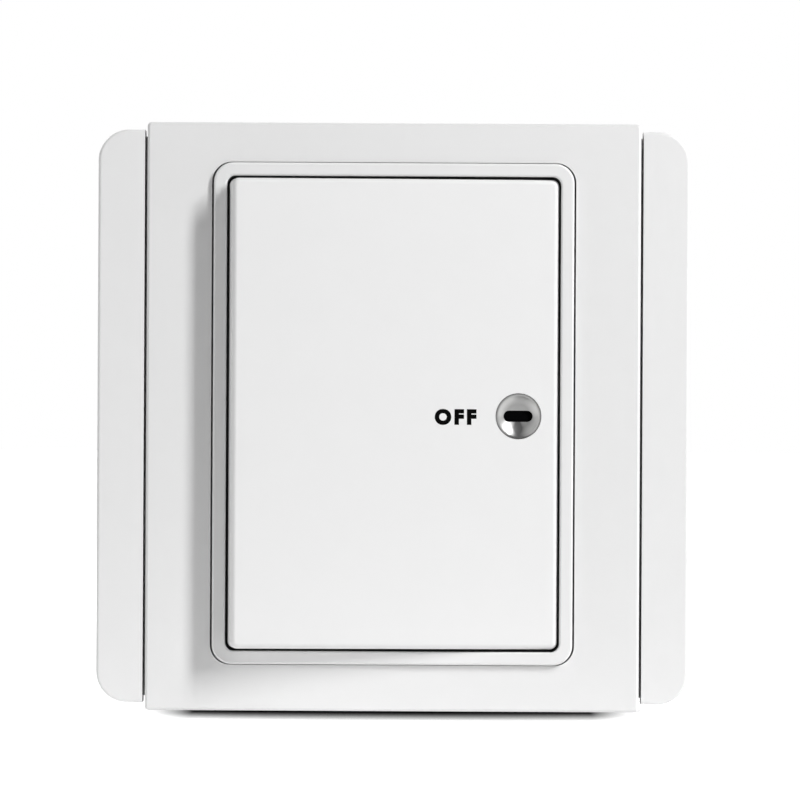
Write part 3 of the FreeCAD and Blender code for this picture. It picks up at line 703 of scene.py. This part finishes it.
@dataclass
class FixingScrews:
    """The two slotted screws that hold the switch to its wall box, with real threads."""

    head_radius: float = 3.2 * MM
    head_thick: float = 2.0 * MM
    head_edge: float = 0.9 * MM
    slot_wide: float = 0.9 * MM
    slot_deep: float = 1.0 * MM
    shank_radius: float = 1.5 * MM
    shank_long: float = 3.15 * MM
    crest_radius: float = 1.74 * MM
    root_radius: float = 1.38 * MM
    crest_flat: float = 0.08 * MM
    pitch: float = 0.7 * MM
    tip: float = 0.6 * MM
    tip_room: float = 0.1 * MM
    sides: int = 24
    head_steps: int = 4

    def build(self) -> None:
        """Put one screw at each end of the pattern, where the plain ones are."""
        low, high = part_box("fixing_screws")
        across = high.x - self.head_radius
        under_head = low.y + self.head_thick
        mesh = bpy.data.meshes.new("threaded_screws")
        shape = bmesh.new()
        for side in (1, -1):
            screw = self.screw(high.y - under_head)
            screw.transform(Matrix.Translation((side * across, under_head, 0.0)))
            shape.from_mesh(screw)
            bpy.data.meshes.remove(screw)
        shape.to_mesh(mesh)
        shape.free()
        piece = finish_piece(mesh, "threaded_screws", Body.ROOT, STEEL)
        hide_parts("fixing_screws")

    def screw(self, long: float) -> bpy.types.Mesh:
        """Make one screw along +Y with the underside of its head at y = 0.

        Args:
            long: Length under the head.

        Returns:
            Its mesh.
        """
        shape = bmesh.new()
        self.turn_head(shape)
        self.cut_thread(shape, long)
        mesh = bpy.data.meshes.new("screw")
        shape.to_mesh(mesh)
        shape.free()
        return slotted(mesh, self.slot_wide, self.slot_deep, self.head_radius, -self.head_thick)

    def turn_head(self, shape: bmesh.types.BMesh) -> None:
        """Spin the pan head and the plain shank behind it.

        Args:
            shape: Where they go.
        """
        flat = self.head_radius - self.head_edge
        shank_end = self.shank_long + self.pitch
        outline = [(0.0, -self.head_thick), (flat, -self.head_thick)]
        for step in range(1, self.head_steps):
            turn = QUARTER * step / self.head_steps
            radius = flat + self.head_edge * math.sin(turn)
            outline.append((radius, -self.head_thick + self.head_edge * (1 - math.cos(turn))))
        outline += [(self.head_radius, -self.head_thick + self.head_edge), (self.head_radius, 0.0),
                    (self.shank_radius, 0.0), (self.shank_radius, shank_end), (0.0, shank_end)]
        turned_outline(shape, outline, 2 * self.sides)

    def cut_thread(self, shape: bmesh.types.BMesh, long: float) -> None:
        """Wind the thread from the shank to the tip, close its ends and point its tip.

        Args:
            shape: Where the thread goes.
            long: Length of the screw under its head.
        """
        thread = bmesh.new()
        flank = (self.pitch - self.crest_flat) / 2
        section = [(self.root_radius, 0.0), (self.crest_radius, flank),
                   (self.crest_radius, flank + self.crest_flat), (self.root_radius, self.pitch)]
        first = self.shank_long - self.pitch
        corners = [thread.verts.new((radius, first + along, 0.0)) for radius, along in section]
        edges = [thread.edges.new(pair) for pair in zip(corners, corners[1:])]
        turns = math.ceil((long - first) / self.pitch) + 1
        steps = turns * self.sides
        bmesh.ops.spin(thread, geom=corners + edges, cent=(0, 0, 0), axis=(0, 1, 0),
                       dvec=(0, self.pitch / self.sides, 0), angle=turns * FULL_TURN, steps=steps)
        bmesh.ops.remove_doubles(thread, verts=thread.verts[:], dist=THREAD_MERGE)
        for level, direction in ((self.shank_long, -1), (long, 1)):
            whole = thread.verts[:] + thread.edges[:] + thread.faces[:]
            cut = bmesh.ops.bisect_plane(thread, geom=whole, plane_co=(0, level, 0),
                                         plane_no=(0, direction, 0), clear_outer=True)
            rim = [item for item in cut["geom_cut"] if isinstance(item, bmesh.types.BMEdge)]
            bmesh.ops.contextual_create(thread, geom=rim)
        for vertex in thread.verts:
            radius = math.hypot(vertex.co.x, vertex.co.z)
            limit = self.root_radius - self.tip + (long - vertex.co.y) + self.tip_room
            if radius > limit:
                vertex.co.x *= limit / radius
                vertex.co.z *= limit / radius
        bmesh.ops.recalc_face_normals(thread, faces=thread.faces[:])
        part = bpy.data.meshes.new("thread")
        thread.to_mesh(part)
        thread.free()
        shape.from_mesh(part)
        bpy.data.meshes.remove(part)


def turned_outline(shape: bmesh.types.BMesh, outline: list[tuple[float, float]],
                   sides: int) -> None:
    """Spin an outline about the Y axis into a closed shell.

    Args:
        shape: Where the shell goes.
        outline: Pairs of radius and place along Y, from the axis round to the axis.
        sides: Number of steps round.
    """
    lathe = bmesh.new()
    corners = [lathe.verts.new((radius, along, 0.0)) for radius, along in outline]
    edges = [lathe.edges.new(pair) for pair in zip(corners, corners[1:])]
    bmesh.ops.spin(lathe, geom=corners + edges, cent=(0, 0, 0), axis=(0, 1, 0), angle=FULL_TURN,
                   steps=sides, use_merge=True)
    bmesh.ops.remove_doubles(lathe, verts=lathe.verts[:], dist=TURNED_MERGE)
    bmesh.ops.recalc_face_normals(lathe, faces=lathe.faces[:])
    part = bpy.data.meshes.new("turned")
    lathe.to_mesh(part)
    lathe.free()
    shape.from_mesh(part)
    bpy.data.meshes.remove(part)


def slotted(mesh: bpy.types.Mesh, wide: float, deep: float, radius: float,
            front: float) -> bpy.types.Mesh:
    """Cut a driver slot across the front of a screw head.

    Args:
        mesh: The screw, along Y.
        wide: Width of the slot.
        deep: Depth of the slot.
        radius: Radius of the head.
        front: Level of the head's front.

    Returns:
        The slotted mesh.
    """
    cutter_shape = bmesh.new()
    bmesh.ops.create_cube(cutter_shape, size=1.0)
    bmesh.ops.scale(cutter_shape, vec=(CUTTER_RADII * radius, 2 * deep, wide),
                    verts=cutter_shape.verts[:])
    bmesh.ops.translate(cutter_shape, vec=(0.0, front, 0.0), verts=cutter_shape.verts[:])
    cutter_mesh = bpy.data.meshes.new("slot_cutter")
    cutter_shape.to_mesh(cutter_mesh)
    cutter_shape.free()
    cutter = bpy.data.objects.new("slot_cutter", cutter_mesh)
    screw = bpy.data.objects.new("screw", mesh)
    for item in (cutter, screw):
        bpy.context.scene.collection.objects.link(item)
    modifier = screw.modifiers.new("slot", "BOOLEAN")
    modifier.operation = "DIFFERENCE"
    modifier.solver = "EXACT"
    modifier.object = cutter
    bpy.context.view_layer.update()
    graph = bpy.context.evaluated_depsgraph_get()
    result = bpy.data.meshes.new_from_object(screw.evaluated_get(graph))
    for item in (cutter, screw):
        bpy.data.objects.remove(item)
    bpy.data.meshes.remove(cutter_mesh)
    bpy.data.meshes.remove(mesh)
    return result


@dataclass
class Mechanism:
    """The frame, the rear housing and what they hold."""

    frame: dict[str, Any]
    number_high: float = 3.0 * MM
    number_proud: float = 0.3 * MM
    number_bold: float = 0.04 * MM
    number_beside: float = 5.2 * MM

    def build(self) -> None:
        """Dress the frame, the housing and the parts inside."""
        dress_node(self.frame, "mechanism_frame", FRAME_WHITE)
        dress_node(self.frame, "mechanism_housing", HOUSING)
        for side in ("upper", "lower"):
            dress_node(self.frame, f"contact_arm_{side}", COPPER)
            dress_node(self.frame, f"moving_contact_{side}", SILVER)
            dress_node(self.frame, f"fixed_contact_{side}", SILVER)
            dress_node(self.frame, f"common_strip_{side}", BRASS)
            dress_node(self.frame, f"load_strip_{side}", BRASS)
            dress_node(self.frame, f"common_terminal_{side}", BRASS)
            dress_node(self.frame, f"load_terminal_{side}", BRASS)
            dress_node(self.frame, f"plunger_{side}", INNER_GREY)
            dress_node(self.frame, f"plunger_spring_{side}", SPRING)
        dress_node(self.frame, "terminal_screws", STEEL)
        dress_node(self.frame, "lamp_board", BOARD)
        dress_node(self.frame, "indicator_lamp", CLEAR)
        dress_node(self.frame, "lamp_resistor", LACQUER)
        dress_node(self.frame, "lamp_leads", SLEEVE)
        self.number_terminals()

    def number_terminals(self) -> None:
        """Raise a plain number beside each wire entry on the back of the housing."""
        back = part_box("mechanism_housing")[1].y
        shape = bmesh.new()
        for number, terminal in enumerate(("common_terminal_upper", "load_terminal_upper",
                                           "common_terminal_lower", "load_terminal_lower"), 1):
            low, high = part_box(terminal)
            digit = lettering(str(number), self.number_high, self.number_proud, self.number_bold)
            middle = (low + high) / 2
            beside = middle.x + (self.number_beside if middle.x < 0 else -self.number_beside)
            digit.transform(Matrix.Translation((beside, back + self.number_proud / 2, middle.z))
                            @ Matrix.Rotation(2 * QUARTER, 4, "Z"))
            shape.from_mesh(digit)
            bpy.data.meshes.remove(digit)
        mesh = bpy.data.meshes.new("terminal_numbers")
        shape.to_mesh(mesh)
        shape.free()
        finish_piece(mesh, "terminal_numbers", Body.ROOT, HOUSING)


@dataclass
class Rocker:
    """The rocker, its carrier, its indicator and its printed word."""

    frame: dict[str, Any]
    tilt: float = math.radians(5.5)
    dish_colour: tuple[float, float, float, float] = (0.38, 0.38, 0.375, 1.0)
    dish_roughness: float = 0.3
    word: str = "OFF"
    word_high: float = 2.35 * MM
    word_across: float = 8.85 * MM
    word_up: float = -0.4 * MM
    word_thick: float = 0.02 * MM
    word_bold: float = 0.19 * MM
    word_spacing: float = 1.36

    def face_frame(self) -> Matrix:
        """Return the turn and shift from the flat face to the tilted face.

        Returns:
            A matrix for meshes drawn with the face at y = 0 and the pivot line at x = 0.
        """
        pivot = Vector(self.frame["record"]["behaviour"]["joints"][0]["pos_m"])
        turn = Matrix.Rotation(self.tilt, 4, "Z")
        reach = self.face_reach(pivot, turn.inverted())
        return Matrix.Translation(pivot) @ turn @ Matrix.Translation((0.0, -reach, 0.0))

    def face_reach(self, pivot: Vector, upright: Matrix) -> float:
        """Return how far the face stands in front of its pivot line, once turned upright."""
        node = self.frame["nodes"]["rocker_cap"]
        return max(-(upright @ (vertex.co - pivot)).y for vertex in node.data.vertices)

    def build(self) -> None:
        """Dress the rocker's nodes and print the word on its face."""
        dress_node(self.frame, "rocker_cap", ROCKER_WHITE)
        dress_node(self.frame, "rocker_carrier", INNER_GREY)
        low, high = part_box("indicator_dish")
        centre = tuple((a + b) / 2 for a, b in zip(low, high))
        dish = TurnedMetal("bright_dish", self.dish_colour, self.dish_roughness,
                           centre=centre, turn=self.tilt)
        dress_node(self.frame, "indicator_dish", dish)
        dress_node(self.frame, "indicator_window", LENS)
        dress_node(self.frame, "light_pipe", CLEAR)
        self.print_word()

    def print_word(self) -> None:
        """Print the word beside the indicator."""
        mesh = lettering(self.word, self.word_high, self.word_thick, self.word_bold,
                         self.word_spacing)
        place = Matrix.Translation((self.word_across, 0.0, self.word_up))
        mesh.transform(self.face_frame() @ place)
        finish_piece(mesh, "printed_word", Body.ROCKER, INK)


def dress_node(frame: dict[str, Any], name: str, finish: Finish) -> None:
    """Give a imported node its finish.

    Args:
        frame: The loaded frame.
        name: The node's name.
        finish: Its surface.
    """
    node = frame["nodes"][name]
    material = finish.material()
    for slot in node.material_slots:
        slot.material = material
    LOG.info("node %s: %s", name, finish.name)


@dataclass(frozen=True)
class SoftBox:
    """A rectangular lamp that faces the switch."""

    name: str
    towards: tuple[float, float, float]
    reach: float
    wide: float
    high: float
    power: float

    def hang(self) -> None:
        """Hang the lamp at its distance from the switch."""
        data = bpy.data.lights.new(self.name, "AREA")
        data.shape = "RECTANGLE"
        data.size = self.wide
        data.size_y = self.high
        data.energy = self.power
        lamp = bpy.data.objects.new(self.name, data)
        direction = Vector(self.towards).normalized()
        lamp.location = direction * self.reach
        lamp.rotation_euler = direction.to_track_quat("Z", "Y").to_euler()
        bpy.context.scene.collection.objects.link(lamp)


@dataclass
class Studio:
    """The camera, the lamps, the floor and the pale surroundings.

    The scale is the picture's pixels for each millimetre at the cover's front. The floor
    is seen as white, with a painted contact shadow along the foot of the plate, and the lamps'
    shadow.
    """

    frame_pixels: float = 800.0
    scale_pixels: float = 6.83
    sensor_wide: float = 36.0
    nearest: float = 0.05
    furthest: float = 50.0
    distance: float = 1.2
    centre_across: float = 1.0 * MM
    centre_up: float = 2.04 * MM
    roll: float = math.radians(-0.3)
    front: float = -8.5 * MM
    boxes: tuple[SoftBox, ...] = (
        SoftBox("key", (0.64, -0.52, 0.565), 1.0, 0.12, 0.5, 9.9),
        SoftBox("left", (-0.98, -0.12, 0.15), 1.0, 0.3, 0.5, 2.1),
        SoftBox("rear_left", (-0.6, 0.65, 0.47), 1.1, 0.4, 0.4, 4.0),
        SoftBox("rear_right", (0.2, 0.93, 0.32), 1.2, 0.5, 0.5, 2.4),
    )
    level: float = 0.045
    floor_reach: float = 6.0
    floor_level: float = 0.8

    # The painted contact shadow: a dark line along the foot of the plate.
    contact_reach: float = 45 * MM
    contact_samples: int = 32
    wall_sky: float = 0.5
    contact_power: float = 2.6
    contact_behind: float = 0.6
    contact_wide: float = 29 * MM
    contact_fade: float = 10 * MM

    # How white the floor glows near the switch, and where that fades to full white.
    shade_reach: float = 0.12
    fade_reach: float = 0.35
    near_glow: float = 0.88

    # A painted glow in the floor, unseen directly, that lights the switch from below in place of
    # the light the floor gives back, strongest in the middle.
    bounce: float = 0.42
    bounce_reach: float = 0.12

    def camera(self) -> None:
        """Set up a long lens square to the plate, rolled as the photograph is."""
        wide = self.frame_pixels / self.scale_pixels * MM
        data = bpy.data.cameras.new("camera")
        data.sensor_width = self.sensor_wide
        data.lens = data.sensor_width * (self.distance + self.front) / wide
        data.clip_start = self.nearest
        data.clip_end = self.furthest
        camera = bpy.data.objects.new("camera", data)
        place = Matrix.Translation((self.centre_across, -self.distance, self.centre_up))
        turn = Matrix.Rotation(self.roll, 4, "Y") @ Matrix.Rotation(QUARTER, 4, "X")
        camera.matrix_world = place @ turn
        bpy.context.scene.collection.objects.link(camera)
        bpy.context.scene.camera = camera

    def lamps(self) -> None:
        """Light the front from the upper right, with weak lamps at its left and behind."""
        for box in self.boxes:
            box.hang()

    def surroundings(self) -> None:
        """Make the surroundings, which are seen as white but light the switch faintly."""
        world = bpy.data.worlds.new("surroundings")
        bpy.context.scene.world = world
        world.use_nodes = True
        wiring = Wiring(world.node_tree)
        seen = wiring.seen_directly()
        light = wiring.node("ShaderNodeBackground", None, grey(1.0), self.level)
        white = wiring.node("ShaderNodeBackground", None, grey(1.0), 1.0)
        mix = wiring.node("ShaderNodeMixShader", None, seen, light.outputs[0], white.outputs[0])
        wiring.node("ShaderNodeOutputWorld", None, mix.outputs[0])

    def floor(self, level: float) -> None:
        """Lay the floor at the foot of the plate, seen as white where nothing stands close, with a
        painted contact shadow by the plate and a painted glow that lights the switch from below.

        Args:
            level: Height of the floor.
        """
        shape = bmesh.new()
        bmesh.ops.create_grid(shape, x_segments=1, y_segments=1, size=self.floor_reach)
        mesh = bpy.data.meshes.new("floor")
        shape.to_mesh(mesh)
        shape.free()
        mesh.transform(Matrix.Translation((0.0, 0.0, level)))
        floor = bpy.data.objects.new("floor", mesh)
        bpy.context.scene.collection.objects.link(floor)
        material = bpy.data.materials.new("floor_white")
        material.use_nodes = True
        wiring = Wiring(material.node_tree)
        seen = wiring.seen_directly()
        # Painted contact shadow: the floor's seen colour and glow go dark where ambient occlusion
        # finds the plate close, only across the cover's width and lighter behind it.
        open_sky = wiring.signal("ShaderNodeAmbientOcclusion", "AO",
                                 {"samples": self.contact_samples}, Distance=self.contact_reach)
        axes = wiring.node("ShaderNodeSeparateXYZ", None, wiring.place())
        across = Signal(wiring, axes.outputs[0])
        back = Signal(wiring, axes.outputs[1])
        beyond = (((across * across) ** 0.5 - self.contact_wide) / self.contact_fade).clamp()
        sky = ((open_sky - self.wall_sky) / (1 - self.wall_sky)).clamp() ** self.contact_power
        behind = (back / self.contact_fade).clamp() * self.contact_behind
        contact = sky + (1.0 - sky) * (beyond + behind).clamp()
        away = (across * across + back * back) ** 0.5
        further = ((away - self.shade_reach) / self.fade_reach).clamp()
        glow = further * (1.0 - self.near_glow) + self.near_glow
        near_white = wiring.blend(contact, grey(0.0), grey(1.0))
        colour = wiring.blend(seen, grey(self.floor_level), near_white)
        diffuse = wiring.node("ShaderNodeBsdfDiffuse", None, colour)
        # Painted light: the floor glows near the switch for rays that don't see it directly.
        bounce_glow_strength = (1.0 - away / self.bounce_reach).clamp() * self.bounce
        strength = contact * glow * seen + bounce_glow_strength * (1.0 - seen)
        lit = wiring.node("ShaderNodeEmission", None, grey(1.0), strength)
        both = wiring.node("ShaderNodeAddShader", None, diffuse.outputs[0], lit.outputs[0])
        wiring.node("ShaderNodeOutputMaterial", None, Surface=both.outputs[0])
        mesh.materials.append(material)
        floor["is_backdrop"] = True


def main() -> None:
    """Load the frame, dress the switch and set up the studio."""
    logging.basicConfig(level=logging.INFO, format="%(name)s: %(message)s")
    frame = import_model()
    cad_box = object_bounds()
    scene = bpy.context.scene
    scene.view_settings.view_transform = "Standard"
    studio = Studio()
    studio.camera()
    studio.lamps()
    studio.surroundings()
    studio.floor(cad_box[0][2])
    WallPlate(frame).build()
    FixingScrews().build()
    Mechanism(frame).build()
    Rocker(frame).build()


if __name__ == "__main__":
    main()
